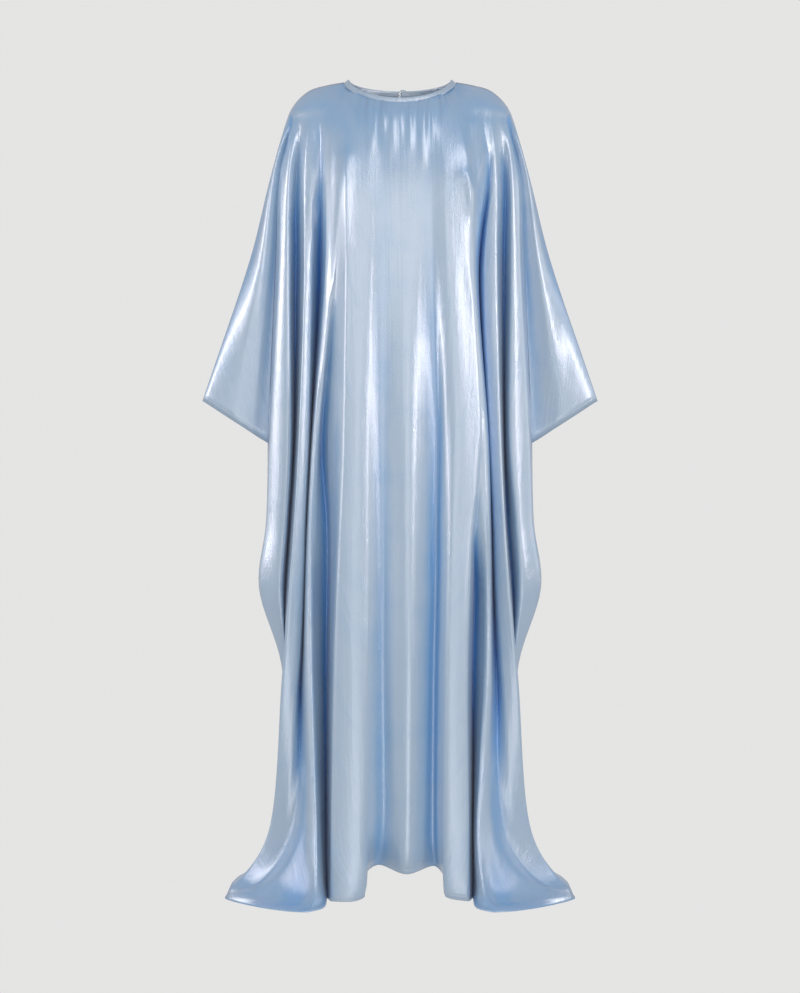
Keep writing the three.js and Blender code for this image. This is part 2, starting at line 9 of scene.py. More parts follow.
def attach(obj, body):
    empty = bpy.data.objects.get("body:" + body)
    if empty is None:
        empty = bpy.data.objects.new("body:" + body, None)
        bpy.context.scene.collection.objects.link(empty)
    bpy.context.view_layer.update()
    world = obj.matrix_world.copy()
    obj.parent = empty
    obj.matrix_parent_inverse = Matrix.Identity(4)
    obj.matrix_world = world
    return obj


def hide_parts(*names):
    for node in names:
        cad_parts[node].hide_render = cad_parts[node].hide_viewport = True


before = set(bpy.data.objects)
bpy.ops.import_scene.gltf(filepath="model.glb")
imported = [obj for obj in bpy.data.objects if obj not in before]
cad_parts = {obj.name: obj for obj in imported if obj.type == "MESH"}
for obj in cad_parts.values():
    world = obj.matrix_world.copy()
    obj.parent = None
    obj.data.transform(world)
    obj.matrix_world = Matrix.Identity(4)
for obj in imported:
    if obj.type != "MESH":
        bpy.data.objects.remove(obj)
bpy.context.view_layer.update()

# A full-length satin kaftan with batwing sleeves, in the form it takes when it is worn. The tables
# are in millimetres, +Z up, +X to the garment's left as it faces -Y, as in the part's solids.
MM = 0.001

# ---- driving dimensions ----
CLOTH_THICK = 0.8
COLUMN_PITCH = 7.2  # widest spacing of the columns of faces across a panel
CREST_CROWD = 0.6  # how much closer the columns lie next to a sharp fold
FLOOR_Z = -1445
HEM_LIE = FLOOR_Z + 1.9  # outer face of cloth that lies on the floor
NECK_HALF_WIDTH = 100
NECK_FOOT = -3
NECK_FRONT = {"depth": 76, "drop": 50, "facing": -1}
NECK_BACK = {"depth": 62, "drop": 12, "facing": 1}
SLIT_LENGTH = 105
SLIT_HALF_GAP = 1.6
SHOULDER_SWELL = 7
HIGH_POINT = 90
HOLLOW_DEPTH = 16  # a hollow this deep gets the darkest painted shade
LEAN_SHARE = 0.34  # painted shade that cloth leaning back adds, as a share of that depth
FOLD_SPAN = 34  # the cloth on each side that a hollow is measured against
HEM_FOLD = 8  # from a free edge to the stitches that hold its fold
NECK_SEAM = 4.5  # from the neckline to the stitches under its binding
PUCKERS = {"middle": 13, "near": 50, "far": 100, "top": 20, "end": 125}  # where they fade out
STITCH_PITCH = 3.4
STITCH_SIZE = (1.15, 0.24, 0.24)  # half length, half width, half height

# ---- levels, from the top edge down: height, and rows of faces above ----
LEVELS = [
    ("top", None, 0), ("yoke", -75, 11), ("bust", -170, 10), ("waist", -340, 12), ("cuff", -648, 17),
    ("hip", -790, 8), ("wing", -905, 8), ("knee", -1062, 9), ("ankle", -1340, 12), ("floor", -1425, 8),
    ("hem", HEM_LIE, 10),
]
LEVEL_NAMES = [name for name, _, _ in LEVELS]
CUFF_LEVEL = LEVEL_NAMES.index("cuff")

# ---- the seam over the arm: half width and height, from the high shoulder point to the wrist ----
OVERARM = [
    (NECK_HALF_WIDTH, NECK_FOOT), (128, -8), (162, -18.5), (190, -45), (204, -76), (215, -115),
    (243, -222), (269, -330), (308, -450), (352, -574),
]
SLEEVE_MARKS = [136, 200, 262, 385, math.inf]

# ---- the side seam under the cuff slit ----
SIDE_SEAM = dict(
    cuff=(236, 0), hip=(239, 0), wing=(252, 0), knee=(207, 10), ankle=(226, 22), floor=(258, 75),
    hem=(284, 95), floor_z=-1408, hem_z=-1438,
)

# ---- fold lines: (half width, depth) at the named levels, with depth negative towards the front ----
# The main folds follow the solids, and the finer ones between them are set here. On the left half the
# folds beside the body stand up to 20 mm in front of the solid's surface.
# sharp says how flat the cloth runs up to the line: 0 is a round fold, 1 a knife edge.
FRONT_HALF = [
    dict(fold="arm_edge", top=136, sleeve=True, out=-1, depth=-17),
    dict(fold="sleeve_face", top=128, sleeve=True, share=0.45, bulge=-29),
    dict(fold="hollow1", sharp=0.4, top=118, seam=True, yoke=(191, -30), bust=(213, -42),
         waist=(222, -26)),
    dict(fold="wing_edge", sharp=0.5, top=112, yoke=(188, -36), bust=(206, -52), waist=(211, -56),
         cuff=(229, -40), hip=(235, -36), wing=(247, -32), knee=(209, -2), ankle=(230, 8), floor=(268, 60),
         hem=(293, 66), floor_z=-1420, hem_z=-1436),
    dict(fold="wing_face", sharp=0.2, top=104, yoke=(181, -42), bust=(195, -60), waist=(197, -62),
         cuff=(195, -54), hip=(202, -50), wing=(210, -48), knee=(205, -14), ankle=(231, -4),
         floor=(274, 36), hem=(301, 40), floor_z=-1419, hem_z=-1440,
         left=dict(hip=(207, -51), wing=(213, -49))),
    dict(fold="hollow2", sharp=0.45, top=96, yoke=(174, -48), bust=(183, -50), waist=(185, -24),
         cuff=(190, -5), wing=(205, -8), knee=(205, -26), ankle=(232, -16), floor=(276, 10), hem=(303, 15),
         floor_z=-1418, hem_z=-1441,
         left=dict(bust=(186, -50), cuff=(187, -5), hip=(192, -7), wing=(201, -8))),
    dict(fold="crest3", sharp=0.75, top=82, yoke=(162, -56), bust=(167, -72), waist=(166, -80),
         cuff=(176, -80), hip=(184, -78), wing=(193, -76), knee=(207, -60), ankle=(233, -32),
         floor=(275, -14), hem=(303, -15), floor_z=-1417, hem_z=-1441,
         left=dict(bust=(169, -73), waist=(168.5, -80), hip=(183, -78), wing=(191, -76))),
    dict(fold="face3", sharp=0.3, top=70, yoke=(153, -60), bust=(155, -76), waist=(156, -76),
         cuff=(161, -72), hip=(167.5, -68), wing=(171, -62), knee=(181, -54), ankle=(212, -42),
         floor=(266, -26), hem=(304, -28), floor_z=-1425,
         left=dict(bust=(163, -75), waist=(147, -76), cuff=(158.5, -72), hip=(166, -68), wing=(170.5, -62))),
    dict(fold="hollow3", sharp=0.6, top=58, yoke=(144, -64), bust=(139, -78), waist=(140.5, -42),
         cuff=(159, -22), hip=(166, -22), wing=(169.5, -22), knee=(175.5, -28), ankle=(193, -48),
         floor=(256, -38), hem=(304, -42), floor_z=-1432,
         left=dict(bust=(157, -73), waist=(139.5, -50), cuff=(157.5, -50), hip=(162, -38), wing=(166, -24),
                   knee=(171.5, -28), ankle=(187, -50))),
    dict(fold="train_crest", sharp=0.2, top=48, yoke=(139, -67), bust=(136, -82), waist=(137, -60),
         cuff=(157.5, -42), hip=(164.5, -42), wing=(168, -42), knee=(171, -50), ankle=(173, -90),
         floor=(213, -86), hem=(304, -64), floor_z=-1408,
         left=dict(bust=(151, -82), waist=(136, -82), cuff=(155, -78), hip=(158, -82), wing=(161, -62),
                   knee=(163, -62), ankle=(168, -90))),
    dict(fold="train_corner", sharp=0.2, top=40, yoke=(135, -69), bust=(134, -90), waist=(134, -76),
         cuff=(156, -56), hip=(163.5, -56), wing=(166.5, -58), knee=(168, -66), ankle=(164, -104),
         floor=(190, -122), hem=(303, -103), floor_z=-1430,
         left=dict(bust=(146, -90), waist=(134, -95), cuff=(153, -96), hip=(155.5, -104), wing=(158.5, -80),
                   knee=(159.5, -82), ankle=(157, -106))),
    dict(fold="train_face", sharp=0.2, top=34, yoke=(132, -70), bust=(131, -94), waist=(131, -87),
         cuff=(154.5, -68), hip=(162, -68), wing=(165, -70), knee=(165, -78), ankle=(158, -115),
         floor=(168, -148), hem=(240, -172), floor_z=-1436,
         left=dict(bust=(141, -96), waist=(132, -103), cuff=(151.5, -108), hip=(153.5, -112),
                   wing=(156, -87), knee=(156, -91), ankle=(149, -117))),
    dict(fold="train_tip", sharp=0.2, top=29, yoke=(129, -71), bust=(129, -97), waist=(129, -95),
         cuff=(153, -79), hip=(160, -79), wing=(162, -80), knee=(161, -88), ankle=(152, -124),
         floor=(155, -164), hem=(190, -204), floor_z=-1433,
         left=dict(bust=(137, -100), waist=(130.5, -109), cuff=(149.5, -115), hip=(149, -115),
                   wing=(152, -88), knee=(151.5, -94), ankle=(142, -125))),
    dict(fold="crest4", sharp=0.5, top=24, yoke=(124, -73), bust=(125, -101), waist=(125, -100),
         cuff=(150.5, -88), hip=(157, -86), wing=(157, -85), knee=(155, -93), ankle=(145, -130),
         floor=(146, -172), hem=(157, -212), floor_z=-1424,
         left=dict(bust=(132, -104), waist=(129, -114), cuff=(147, -117.5), hip=(142, -114),
                   wing=(148, -84), knee=(147, -91), ankle=(135, -132))),
    dict(fold="tip_return", sharp=0.1, top=19, yoke=(119, -75), bust=(119, -108), waist=(118, -104),
         cuff=(144, -84), hip=(148, -78), wing=(147, -68), knee=(144, -72), ankle=(138, -108),
         floor=(134, -140), hem=(131, -180), floor_z=-1430,
         left=dict(bust=(128, -109), waist=(127.5, -118), cuff=(144, -118), hip=(135, -112),
                   wing=(142, -70), knee=(140, -74), ankle=(129, -108))),
    dict(fold="hollow4", sharp=0.5, top=12, yoke=(112, -78), bust=(111, -113), waist=(109, -110),
         cuff=(137.5, -58), hip=(129, -50), wing=(129, -38), knee=(131, -36), ankle=(130, -52),
         floor=(128, -72), hem=(127, -92),
         left=dict(yoke=(115, -77), bust=(124, -114), waist=(125.5, -121), cuff=(141, -119),
                   hip=(130, -112), wing=(132, -50), knee=(129, -44))),
    dict(fold="body_edge", sharp=0.65, top=0, yoke=(97, -84), bust=(93, -127), waist=(93, -132),
         cuff=(97, -130), hip=(103, -129), wing=(108, -127), knee=(113, -124), ankle=(118, -124),
         floor=(119, -123), hem=(119, -120),
         left=dict(yoke=(102, -83), bust=(117, -123), waist=(122, -124), cuff=(138, -123),
                   hip=(124, -124), wing=(119, -125), knee=(115, -124))),
]

# ---- fold lines across the middle of the front; top: degrees round the neckline ----
FRONT_MIDDLE = [
    dict(fold="column_face", top=-46, yoke=(-73, -89), bust=(-73, -128), waist=(-73, -133),
         cuff=(-77, -133), wing=(-82, -132), knee=(-83, -131), ankle=(-84, -129), floor=(-84, -127),
         hem=(-85, -124)),
    dict(fold="column_edge", sharp=0.2, top=-30, yoke=(-50, -92), bust=(-52, -127), waist=(-54, -132),
         cuff=(-57, -130), wing=(-57, -128), knee=(-58, -127), ankle=(-60, -125), floor=(-61, -120),
         hem=(-62, -114), hem_z=-1437),
    dict(fold="column_return", top=-24, yoke=(-40, -93), bust=(-42, -126), waist=(-45, -130),
         cuff=(-47, -125), wing=(-46, -120), knee=(-47, -115), ankle=(-50, -106), floor=(-56, -92),
         hem=(-63, -78), floor_z=-1390, hem_z=-1407),
    dict(fold="soft_hollow", top=-15, yoke=(-26, -94), bust=(-28, -125), waist=(-30, -128),
         cuff=(-32, -120), wing=(-30, -112), knee=(-30, -105), ankle=(-32, -84), floor=(-36, -70),
         hem=(-40, -58), floor_z=-1370, hem_z=-1391.5),
    dict(fold="middle_crest", top=7, yoke=(10, -96), bust=(12, -126), waist=(16, -130), cuff=(18, -129),
         wing=(17, -127), knee=(17, -123), ankle=(14, -104), floor=(12, -97), hem=(11, -90),
         floor_z=-1384, hem_z=-1402),
    dict(fold="deep_hollow", sharp=0.2, top=27, yoke=(46, -92), bust=(50, -125), waist=(56, -127),
         cuff=(65, -106), wing=(63, -95), knee=(60, -90), ankle=(59, -76), floor=(60, -68), hem=(61, -60),
         floor_z=-1374, hem_z=-1393),
    dict(fold="column_return2", top=36, yoke=(58, -90), bust=(62, -126), waist=(70, -131),
         cuff=(79, -124), wing=(75, -116), knee=(72, -112), ankle=(71, -102), floor=(74, -90),
         hem=(77, -78), floor_z=-1392, hem_z=-1407),
    dict(fold="column_edge2", sharp=0.2, top=43, yoke=(68, -88), bust=(76, -128), waist=(85, -134),
         cuff=(95, -131), wing=(85, -129), knee=(82, -128), ankle=(79, -125), floor=(79, -121),
         hem=(79, -114), hem_z=-1436),
]

# ---- fold lines of the back ----
BACK_HALF = [
    dict(fold="arm_edge", top=136, sleeve=True, out=-1, depth=17),
    dict(fold="sleeve_face", top=128, sleeve=True, share=0.45, bulge=29),
    dict(fold="hollow1", sharp=0.4, top=118, seam=True, yoke=(191, 30), bust=(213, 40), waist=(222, 26)),
    dict(fold="wing_face", sharp=0.3, top=106, yoke=(181, 42), bust=(195, 60), waist=(199, 58),
         cuff=(211, 48), wing=(226, 42), knee=(203, 44), ankle=(222, 72), floor=(246, 112),
         hem=(262, 138), floor_z=-1422, hem_z=-1440),
    dict(fold="hollow2", sharp=0.3, top=92, yoke=(168, 52), bust=(175, 56), waist=(176, 34), cuff=(182, 16),
         wing=(190, 20), knee=(188, 52), ankle=(206, 98), floor=(226, 128), hem=(240, 162),
         floor_z=-1430, left=dict(knee=(183, 50), ankle=(200, 98))),
    dict(fold="crest3", sharp=0.5, top=66, yoke=(144, 62), bust=(150, 80), waist=(150, 90), cuff=(152, 95),
         wing=(158, 100), knee=(163, 110), ankle=(181, 146), floor=(192, 170), hem=(204, 198),
         floor_z=-1430, left=dict(cuff=(144, 97), wing=(149, 103), knee=(155, 113), ankle=(172, 150))),
    dict(fold="hollow3", sharp=0.3, top=34, yoke=(120, 67), bust=(117, 88), waist=(115, 78), cuff=(115, 66),
         wing=(119, 64), knee=(123, 73), ankle=(130, 100), floor=(134, 120), hem=(140, 146),
         floor_z=-1434, left=dict(cuff=(108, 72), wing=(112, 70), knee=(115, 80))),
    dict(fold="blade_crest", sharp=0.4, top=0, yoke=(96, 74), bust=(86, 103), waist=(84, 112), cuff=(84, 118),
         wing=(85, 124), knee=(87, 132), ankle=(91, 156), floor=(93, 168), hem=(96, 184)),
]
BACK_MIDDLE = [
    dict(fold="hollow5", sharp=0.2, top=-31, yoke=(-52, 76), bust=(-50, 103), waist=(-50, 103),
         cuff=(-49, 100), wing=(-49, 101), knee=(-50, 108), ankle=(-52, 131), floor=(-54, 141),
         hem=(-55, 150), hem_z=-1432),
    dict(fold="crest6", sharp=0.2, top=-15, yoke=(-26, 78), bust=(-25, 106), waist=(-23, 112),
         cuff=(-19, 119), wing=(-22, 124), knee=(-30, 132), ankle=(-35, 154), floor=(-36, 161), hem=(-37,
         168),
         floor_z=-1412, hem_z=-1427),
    dict(fold="spine", top=0, yoke=(0, 78), bust=(0, 105), waist=(3, 107), cuff=(9, 112),
         wing=(6, 114), knee=(-3, 118), ankle=(-9, 139), floor=(-10, 148), hem=(-11, 156),
         floor_z=-1408, hem_z=-1423),
    dict(fold="crest7", sharp=0.2, top=15, yoke=(26, 78), bust=(27, 106), waist=(31, 111), cuff=(37, 115),
         wing=(37, 121), knee=(32, 131), ankle=(25, 154), floor=(22, 161), hem=(21, 168),
         floor_z=-1412, hem_z=-1427),
    dict(fold="hollow8", sharp=0.2, top=31, yoke=(52, 76), bust=(54, 103), waist=(56, 102), cuff=(58, 98),
         wing=(58, 99), knee=(58, 107), ankle=(57, 131), floor=(57, 141), hem=(58, 150), hem_z=-1432),
]

# ---- the binding round the neck: distance above the neckline, and out from it ----
BINDING_SECTION = [
    (-3, 0.5), (-2.6, 1.1), (-0.5, 1.3), (3, 1.5), (6.5, 1.2), (8.3, 0.4), (8.5, -0.8), (7.8, -1.9),
    (5, -2.3), (0, -2.4), (-2.6, -2.2), (-3, -1.6),
]
BINDING_HEIGHT = 8.5
BINDING_PITCH = 2.4
BINDING_LEAN = {"all": 1.5, "side": 4}  # how far its upper edge leans inwards
BINDING_SIDE = {"inset": 2.3, "drop": 0.4}

# ---- the covered button on its shank, and the loop round it, at the top of the slit ----
BUTTON_AT = (4.8, -9.9)
BUTTON_PROFILE = [
    (63.2, 1.5), (64.3, 1.5), (64.7, 3.4), (65.2, 4.1), (65.8, 4.2), (66.5, 3.9), (67.1, 2.8), (67.4, 1.0),
]
LOOP_MIDDLE = (0, 64.1, -9.9)
LOOP_HALF = [(12.4, 0.3, 0), (9.92, 0.3, 4.96), (3.72, 0.3, 6.2), (-3, 0, 1.44)]
LOOP_RADIUS = 0.9

# ---- creases and gathers laid over the folds: outward rise, half width, and a path of (x, z) ----
FRONT_CREASES = [
    dict(crease="right_bust", rise=8, width=13, path=[(-94, -140), (-95, -182), (-99, -260), (-101, -330)]),
    dict(crease="right_bust_outer", rise=3, width=5,
         path=[(-101, -180), (-105, -240), (-112, -330), (-119, -430)]),
    dict(crease="right_body_edge", rise=1.4, width=4,
         path=[(-91, -180), (-89, -260), (-90, -340), (-97, -640)]),
    dict(crease="right_armpit_roll", rise=5, width=6,
         path=[(-121, -380), (-130, -508), (-137, -612), (-136, -665)]),
    dict(crease="right_crest3_split", rise=1.5, width=3, path=[(-160, -215), (-155, -260), (-150, -320)]),
    dict(crease="right_short_ridge", rise=2.5, width=4, path=[(-142, -228), (-142, -280)]),
    dict(crease="right_armhole", rise=-3, width=5, path=[(-137, -90), (-137, -137), (-132, -240)]),
    dict(crease="right_arm_hollow", rise=-4, width=5, path=[(-177, -85), (-179, -168), (-180, -260)]),
    dict(crease="right_arm_ridge", rise=2, width=6, path=[(-191, -85), (-198, -200)]),
    dict(crease="right_crest3_top", rise=2, width=7, path=[(-164, -85), (-165, -200)]),
    dict(crease="left_arm_hollow", rise=-5, width=6, path=[(185, -85), (186, -150), (184, -260)]),
    dict(crease="left_crest3", rise=1.2, width=3, path=[(167, -90), (167, -250), (168, -420)]),
    dict(crease="left_shoulder_dent", rise=-3, width=9, path=[(114.5, -55), (115, -90), (115, -135)]),
    dict(crease="left_armhole", rise=-1.4, width=3, path=[(123, -100), (123, -195)]),
    dict(crease="left_hollow3_top", rise=-3, width=4, path=[(163, -115), (151, -215), (139, -310)]),
    dict(crease="left_bust_inner", rise=5, width=9, path=[(98, -178), (112, -192), (122, -205), (129, -255)]),
    dict(crease="left_bust_point", rise=6, width=9, path=[(104, -180), (126, -210), (129, -262)]),
    dict(crease="left_bust_outer", rise=4, width=6, path=[(150, -130), (136, -184), (126, -225)]),
    dict(crease="left_long_crest", rise=1.8, width=3.5, path=[(98, -195), (117, -349), (131, -440)]),
    dict(crease="left_inner_crest", rise=1.6, width=5,
         path=[(90, -240), (95, -403), (101, -509), (106, -745)]),
    dict(crease="left_body_nick", rise=-2, width=3, path=[(140, -640), (135, -740), (131, -835)]),
    dict(crease="left_train_ridge", rise=7, width=12,
         path=[(148, -1220), (160, -1330), (172, -1395), (190, -1425)]),
    dict(crease="right_train_ridge", rise=5, width=11, path=[(-160, -1230), (-178, -1330), (-196, -1410)]),
    dict(crease="right_sleeve_roll", rise=1, width=11, path=[(-244, -360), (-255, -502), (-268, -625)]),
    dict(crease="left_sleeve_roll", rise=1, width=13, path=[(239, -215), (255, -377), (270, -545)]),
    dict(crease="left_sleeve_dimple", rise=-2, width=14, path=[(283, -390), (292, -470), (300, -560)]),
    dict(crease="dash", rise=1.6, width=2.5, path=[(-36, -784), (-20, -787), (-4, -788)]),
    dict(crease="gather1", rise=2, width=5, path=[(-47, -43), (-48, -90), (-50, -158)]),
    dict(crease="gather2", rise=1.4, width=4, path=[(-31, -47), (-31, -80), (-32, -116)]),
    dict(crease="gather3", rise=2.2, width=5, path=[(-15, -50), (-15, -95), (-16, -170)]),
    dict(crease="gather4", rise=1.6, width=4, path=[(1, -50), (1, -78), (2, -122)]),
    dict(crease="gather5", rise=2, width=5, path=[(15, -50), (16, -90), (17, -146)]),
    dict(crease="gather6", rise=2.4, width=5, path=[(37, -46), (38, -95), (41, -178)]),
    dict(crease="gather7", rise=1.5, width=4, path=[(55, -40), (56, -74), (58, -118)]),
]
BACK_CREASES = [
    dict(crease="right_blade", rise=4, width=12, path=[(-88, -150), (-92, -230), (-96, -360)]),
    dict(crease="left_blade", rise=3, width=10, path=[(84, -135), (92, -260), (90, -330)]),
    dict(crease="right_waist_pull", rise=-3, width=9, path=[(-62, -300), (-58, -520), (-66, -700)]),
    dict(crease="left_waist_pull", rise=-4, width=8, path=[(70, -260), (66, -430), (73, -610)]),
    dict(crease="seat_ridge", rise=3, width=7, path=[(-12, -560), (-16, -760), (-10, -1010)]),
    dict(crease="short_ridge", rise=2.5, width=5, path=[(14, -230), (12, -330), (16, -420)]),
    dict(crease="left_low_hollow", rise=-4, width=10, path=[(44, -820), (40, -1010), (47, -1240)]),
    dict(crease="right_low_ridge", rise=3.5, width=9, path=[(-104, -760), (-110, -960), (-124, -1180)]),
    dict(crease="left_low_ridge", rise=3, width=7, path=[(112, -700), (104, -900), (110, -1060)]),
    dict(crease="right_train_fold", rise=4, width=11, path=[(-168, -1120), (-186, -1290), (-212, -1400)]),
    dict(crease="left_train_fold", rise=3, width=9, path=[(158, -1160), (176, -1300), (190, -1390)]),
    dict(crease="right_sleeve_ridge", rise=2.5, width=10, path=[(-236, -260), (-258, -420), (-280, -560)]),
    dict(crease="left_sleeve_ridge", rise=2, width=8, path=[(232, -230), (246, -380), (262, -470)]),
]


# ---- curves ----
def spline(points, at, sharp=None):
    """Centripetal Catmull-Rom curve through points, at places counted in points from the first."""
    points = np.asarray(points, float)
    last = len(points) - 1
    padded = np.vstack([2 * points[0] - points[1], points, 2 * points[-1] - points[-2]])
    at = np.clip(np.asarray(at, float), 0, last)
    k = np.minimum(at.astype(int), last - 1)
    w = (at - k)[:, None]
    p0, p1, p2, p3 = (padded[k + i] for i in range(4))
    d0, d1, d2 = (np.linalg.norm(b - a, axis=1)[:, None] ** 0.5 for a, b in ((p0, p1), (p1, p2), (p2, p3)))
    d1 = np.where(d1 < 1e-4, 1.0, d1)
    d0 = np.where(d0 < 1e-4, d1, d0)
    d2 = np.where(d2 < 1e-4, d1, d2)
    leave = ((p1 - p0) / d0 - (p2 - p0) / (d0 + d1) + (p2 - p1) / d1) * d1
    reach = ((p2 - p1) / d1 - (p3 - p1) / (d1 + d2) + (p3 - p2) / d2) * d1
    if sharp is not None:
        leave += (p2 - p1 - leave) * sharp[k][:, None]
        reach += (p2 - p1 - reach) * sharp[k + 1][:, None]
    bend = -3 * p1 + 3 * p2 - 2 * leave - reach
    twist = 2 * p1 - 2 * p2 + leave + reach
    return p1 + w * (leave + w * (bend + w * twist))


def run_lengths(points):
    """Distance along a row of points, from the first."""
    steps = np.linalg.norm(np.diff(points, axis=0), axis=1)
    return np.concatenate([[0], np.cumsum(steps)])


def along(points, distances):
    """The points of a row of points at distances from the first."""
    run = run_lengths(points)
    return np.stack([np.interp(distances, run, points[:, axis]) for axis in range(3)], axis=1)


OVERARM_CURVE = spline([(x, 0, z) for x, z in OVERARM], np.linspace(0, len(OVERARM) - 1, 201))
OVERARM_LENGTH = run_lengths(OVERARM_CURVE)[-1]


def on_overarm(side, distance):
    """The point of the seam over the arm at a distance from the neck."""
    x, _, z = along(OVERARM_CURVE, [min(distance, OVERARM_LENGTH)])[0]
    return np.array([side * x, 0.0, z])


def on_neckline(degrees, neck):
    """The point of the neckline at degrees round from its middle."""
    angle = math.radians(degrees)
    rise = max(0.0, math.cos(angle))
    return np.array([
        NECK_HALF_WIDTH * math.sin(angle), neck["facing"] * neck["depth"] * rise,
        NECK_FOOT - neck["drop"] * rise**1.3,
    ])


def on_top_edge(path, neck):
    """A panel's top edge: degrees round the neckline up to 90, then millimetres along the arm's seam."""
    past = abs(path) - HIGH_POINT
    return on_overarm(math.copysign(1, path), past) if past > 0 else on_neckline(path, neck)


# ---- fold lines from the tables ----
def placed(row, i, side):
    """The point of a fold line at level i. A level left out lies between its neighbours."""
    name, z, _ = LEVELS[i]
    point = (row.get("left", {}).get(name) if side > 0 else None) or row.get(name)
    if point:
        return np.array([side * point[0], point[1], row.get(name + "_z", z)], float)
    above, below = LEVELS[i - 1][1], LEVELS[i + 1][1]
    share = (z - above) / (below - above)
    return placed(row, i - 1, side) * (1 - share) + placed(row, i + 1, side) * share


def placed_below(row, first, side):
    return [placed(row, i, side) for i in range(first, len(LEVELS))]


def seam_line(row, side, levels):
    """The line that reaches the end of the cuff slit and goes on down the side seam."""
    upper = [placed(row, i, side) for i in range(1, CUFF_LEVEL)]
    seam = placed_below(SIDE_SEAM, CUFF_LEVEL, side)
    above = spline([on_overarm(side, row["top"]), *upper, seam[0]], levels)
    below = spline(seam, levels - CUFF_LEVEL)
    return np.where((levels <= CUFF_LEVEL)[:, None], above, below)


def sleeve_line(row, side, body, levels):
    """A line of the sleeve, from the seam over the arm to the edge of the cuff."""
    points = []
    for level, mark in enumerate(SLEEVE_MARKS):
        seam = on_overarm(side, mark)
        flat = 0.6 if level == CUFF_LEVEL else 1
        inner = body[np.argmin(abs(levels - level))]
        if level == 0:
            points.append(on_overarm(side, row["top"]))
        elif "share" in row:
            mixed = seam + (inner - seam) * row["share"]
            points.append([mixed[0], inner[1] * 0.5 + row["bulge"] * flat, mixed[2]])
        else:
            points.append(seam + [side * row["out"], row["depth"] * flat, 0])
    return spline(points, levels)


def fold_line(row, path, points):
    return dict(path=path, points=points, sleeve=row.get("sleeve", False), sharp=row.get("sharp", 0))


def half_lines(table, side, levels):
    """All lines of one half, from the seam over the arm inwards."""
    body = seam_line(next(row for row in table if row.get("seam")), side, levels)
    arm_seam = spline([on_overarm(side, mark) for mark in SLEEVE_MARKS], levels)
    lines = [fold_line({"sleeve": True}, side * (HIGH_POINT + SLEEVE_MARKS[0]), arm_seam)]
    for row in table:
        if row.get("seam"):
            points = body
        elif row.get("sleeve"):
            points = sleeve_line(row, side, body, levels)
        else:
            points = spline([on_overarm(side, row["top"]), *placed_below(row, 1, side)], levels)
        lines.append(fold_line(row, side * (HIGH_POINT + row["top"]), points))
    return lines


def panel_lines(half, middle, neck, levels):
    """All lines of a panel, from the garment's right to its left."""
    across = []
    for row in middle:
        points = spline([on_neckline(row["top"], neck), *placed_below(row, 1, 1)], levels)
        across.append(fold_line(row, row["top"], points))
    return [*half_lines(half, -1, levels), *across, *half_lines(half, 1, levels)[::-1]]


# ---- sampling a panel ----
def row_levels():
    """Level coordinates of the rows of points: 0 at the top edge, one more at each named level."""
    levels = [0.0]
    for i, (_, _, rows) in enumerate(LEVELS):
        levels += [i - 1 + step / rows for step in range(1, rows + 1)]
    return np.array(levels)


ROWS = row_levels()
CUFF_ROW = int(np.argmin(abs(ROWS - CUFF_LEVEL)))


def column_places(lines):
    """Places of the columns, counted in lines: COLUMN_PITCH apart where the lines spread most, and
    closer beside a sharp fold."""
    places = [0.0]
    for k in range(1, len(lines)):
        before, line = lines[k - 1], lines[k]
        gap = np.linalg.norm(line["points"] - before["points"], axis=1)
        count = max(3, math.ceil(np.percentile(gap, 80) / COLUMN_PITCH))
        crowd = CREST_CROWD * max(before["sharp"], line["sharp"])
        shares = np.arange(1, count + 1) / count
        places += list(k - 1 + shares - crowd * np.sin(math.tau * shares) / math.tau)
    return np.array(places)


def sample_panel(half, middle, neck, split):
    """The points of a panel as columns of rows, the first and last column of its body, and the column
    of the fold that is to be split."""
    lines = panel_lines(half, middle, neck, ROWS)
    sleeve_lines = [line["sleeve"] for line in lines].index(False)
    last = len(lines) - 1
    places = column_places(lines)
    split_at = None
    if split:
        at = len(half) + 1 + [row["fold"] for row in middle].index(split)
        split_at = int(np.argmin(abs(places - at)))
        places = np.insert(places, split_at, at)
    sharp = np.array([line["sharp"] for line in lines])
    points = np.zeros((len(places), len(ROWS), 3))
    for j, level in enumerate(ROWS):
        first = sleeve_lines if level > CUFF_LEVEL else 0
        used = slice(first, last + 1 - first)
        row = [line["points"][j] for line in lines[used]]
        points[:, j] = spline(row, places - first, sharp[used] * min(1, max(0, level - 0.5)))
    paths = np.interp(places, range(last + 1), [line["path"] for line in lines])
    points[:, 0] = [on_top_edge(path, neck) for path in paths]
    round_shoulder(points, paths, np.minimum(places, last - places) - sleeve_lines + 1, neck["facing"])
    body = np.flatnonzero((places >= sleeve_lines) & (places <= last - sleeve_lines))
    return points, body[0], body[-1], split_at


def round_shoulder(points, paths, from_sleeve, facing):
    """Cloth that leaves the seam on the shoulder goes outwards before it goes down."""
    amount = SHOULDER_SWELL * np.clip((abs(paths) - HIGH_POINT) / 35, 0, 1) * np.clip(from_sleeve / 3, 0, 1)
    for j, level in enumerate(ROWS):
        if 0 < level < 1:
            swell = math.sin(math.pi * level) * amount
            points[:, j, 1] += facing * swell
            points[:, j, 2] += swell * 0.35


